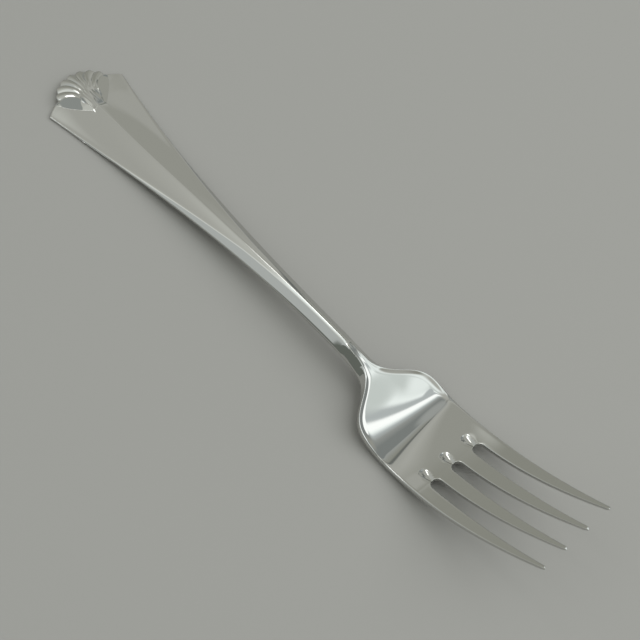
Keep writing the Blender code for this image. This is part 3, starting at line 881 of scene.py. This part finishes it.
# Compass angle, height, radius and softness in degrees, and the tone.
PATCHES = [
    (-47.5, 39.5, 2, 2.5, WALL),
    (168, 55, 11.5, 2.5, CORNER),
    (34, 35, 11, 2.5, GLARE),
    (60, 63, 3, 4, PANE),
    (50, 49, 3.5, 4, DIM_PANE),
    (46, 70.5, 1.5, 1.5, BAR),
    (-18, 73, 2, 5, STRIP),
    (-134, 51, 7, 2, PALE),
    (-130, 61, 5, 2, PANE),
    (-171, 32, 3.5, 2, GLARE),
    (-27, 37, 4, 2, EDGE_SHADE),
]
print("three rings and", len(PATCHES), "patches")

# %% [markdown]
# A direction in the room gives a compass angle and a height. The angle picks a tone from each ring by a
# colour ramp, and the height blends the rings. A patch is found by the angle between the direction and the
# patch's centre, which the dot product of the two tells.


# %% Helpers for the room
def ring_of_tones(tree, angle, stops):
    """A colour ramp round the compass."""
    ramp = add_node(tree, "ShaderNodeValToRGB", {"Fac": angle})
    elements = ramp.color_ramp.elements
    elements.remove(elements[-1])
    for index, (degrees, tone) in enumerate(stops):
        position = (degrees + 180) / 360
        element = elements[0] if index == 0 else elements.new(position)
        element.position = position
        element.color = colour(tone)
    return ramp.outputs["Color"]


def sky_direction(azimuth, elevation):
    """The direction of a place in the room, from its compass angle and its height in degrees."""
    azimuth, elevation = math.radians(azimuth), math.radians(elevation)
    level = math.cos(elevation)
    return Vector((math.sin(azimuth) * level, math.cos(azimuth) * level, math.sin(elevation)))


def round_patch(tree, direction, centre, radius, softness):
    """1 inside a round patch of the room, fading to 0 at its edge; sizes in degrees."""
    nearness = add_node(tree, "ShaderNodeVectorMath", {0: direction, 1: centre}, operation="DOT_PRODUCT")
    return add_node(tree, "ShaderNodeMapRange", {
        "Value": nearness.outputs["Value"], "From Min": math.cos(math.radians(radius + softness)),
        "From Max": math.cos(math.radians(radius))},
        interpolation_type="SMOOTHSTEP").outputs["Result"]


print("first patch lies towards", [round(v, 2) for v in sky_direction(*PATCHES[0][:2])])

# %% Build the room
SKIRTING_HEIGHT = math.radians(8)
SKIRTING_BLEND = math.radians(9.5)
EYE_LEVEL = math.radians(36)
UPPER_LEVEL = math.radians(50)
CEILING_START = math.radians(77)
CEILING_FULL = math.radians(86)

world = bpy.data.worlds.new("grey_studio")
world.use_nodes = True
bpy.context.scene.world = world
tree = world.node_tree
tree.nodes.clear()
direction = add_node(tree, "ShaderNodeTexCoord").outputs["Generated"]
parts = add_node(tree, "ShaderNodeSeparateXYZ", {"Vector": direction}).outputs
compass = add_node(tree, "ShaderNodeMath", {0: parts["X"], 1: parts["Y"]}, operation="ARCTAN2")
angle = add_node(tree, "ShaderNodeMapRange", {
    "Value": compass.outputs[0], "From Min": -math.pi, "From Max": math.pi}).outputs["Result"]
height = add_node(tree, "ShaderNodeMath", {0: parts["Z"]}, operation="ARCSINE").outputs[0]
upward = add_node(tree, "ShaderNodeMapRange", {
    "Value": height, "From Min": EYE_LEVEL, "From Max": UPPER_LEVEL}, interpolation_type="SMOOTHSTEP")
overhead = add_node(tree, "ShaderNodeMapRange", {
    "Value": height, "From Min": CEILING_START, "From Max": CEILING_FULL}, interpolation_type="SMOOTHSTEP")
low_down = add_node(tree, "ShaderNodeMapRange", {
    "Value": height, "From Min": SKIRTING_BLEND, "From Max": SKIRTING_HEIGHT})
upper = ring_of_tones(tree, angle, UPPER_RING)
lower = ring_of_tones(tree, angle, LOWER_RING)
skirting = ring_of_tones(tree, angle, SKIRTING)
room = add_node(tree, "ShaderNodeMix", {
    "Factor": upward.outputs["Result"], "A": lower, "B": upper}, data_type="RGBA")
room = add_node(tree, "ShaderNodeMix", {
    "Factor": low_down.outputs["Result"], "A": room.outputs["Result"], "B": skirting}, data_type="RGBA")
room = add_node(tree, "ShaderNodeMix", {
    "Factor": overhead.outputs["Result"], "A": room.outputs["Result"], "B": colour(LIT_WALL)},
    data_type="RGBA")
for azimuth, elevation, radius, softness, tone in PATCHES:
    patch = round_patch(tree, direction, sky_direction(azimuth, elevation), radius, softness)
    room = add_node(tree, "ShaderNodeMix", {
        "Factor": patch, "A": room.outputs["Result"], "B": colour(tone)}, data_type="RGBA")
room_light = add_node(tree, "ShaderNodeBackground", {
    "Color": room.outputs["Result"], "Strength": ROOM_STRENGTH})
add_node(tree, "ShaderNodeOutputWorld", {"Surface": room_light.outputs["Background"]})
print("room made of", len(tree.nodes), "nodes")

# %% [markdown]
# The room's own light is too weak to bring the floor to a plain level, so one large soft lamp is added on
# the side of the tall light. The steel shows the room and not this lamp, so it is hidden from reflections.

# %% The soft lamp
LAMP_AZIMUTH = 40
LAMP_ELEVATION = 52
LAMP_DISTANCE = 1.5
LAMP_SIZE = 1.6
LAMP_POWER = 11.5

toward = sky_direction(LAMP_AZIMUTH, LAMP_ELEVATION)
bpy.ops.object.light_add(type="AREA", location=toward * LAMP_DISTANCE)
lamp = bpy.context.object
lamp.rotation_euler = toward.to_track_quat("Z", "Y").to_euler()
lamp.data.size = LAMP_SIZE
lamp.data.energy = LAMP_POWER
lamp.visible_glossy = False
bpy.context.scene.view_settings.view_transform = "Standard"
print("lamp at", [round(v, 2) for v in lamp.location])

# %% [markdown]
# A second, small lamp hangs behind the handle, and this one is meant to be seen in the steel. Its mirror
# image is the short bright streak on a rounded form. It is a rectangle with crisp edges, which a ring of
# blended tones can't draw. Like the camera, it is turned by writing its three axes into a matrix.

# %% The small lamp
SMALL_LAMP_AZIMUTH = -107.4
SMALL_LAMP_ELEVATION = 63.5
SMALL_LAMP_DISTANCE = 2.0
SMALL_LAMP_ALONG = Vector((0.933, -0.361, 0))
SMALL_LAMP_LENGTH = 0.52
SMALL_LAMP_WIDTH = 0.34
SMALL_LAMP_POWER = 1.4

toward = sky_direction(SMALL_LAMP_AZIMUTH, SMALL_LAMP_ELEVATION)
along = (SMALL_LAMP_ALONG - toward * SMALL_LAMP_ALONG.dot(toward)).normalized()
bpy.ops.object.light_add(type="AREA")
small_lamp = bpy.context.object
turned = Matrix((along, toward.cross(along), toward)).transposed().to_4x4()
small_lamp.matrix_world = Matrix.Translation(toward * SMALL_LAMP_DISTANCE) @ turned
small_lamp.data.shape = "RECTANGLE"
small_lamp.data.size = SMALL_LAMP_LENGTH
small_lamp.data.size_y = SMALL_LAMP_WIDTH
small_lamp.data.energy = SMALL_LAMP_POWER
print("small lamp at", [round(v, 2) for v in toward * SMALL_LAMP_DISTANCE])
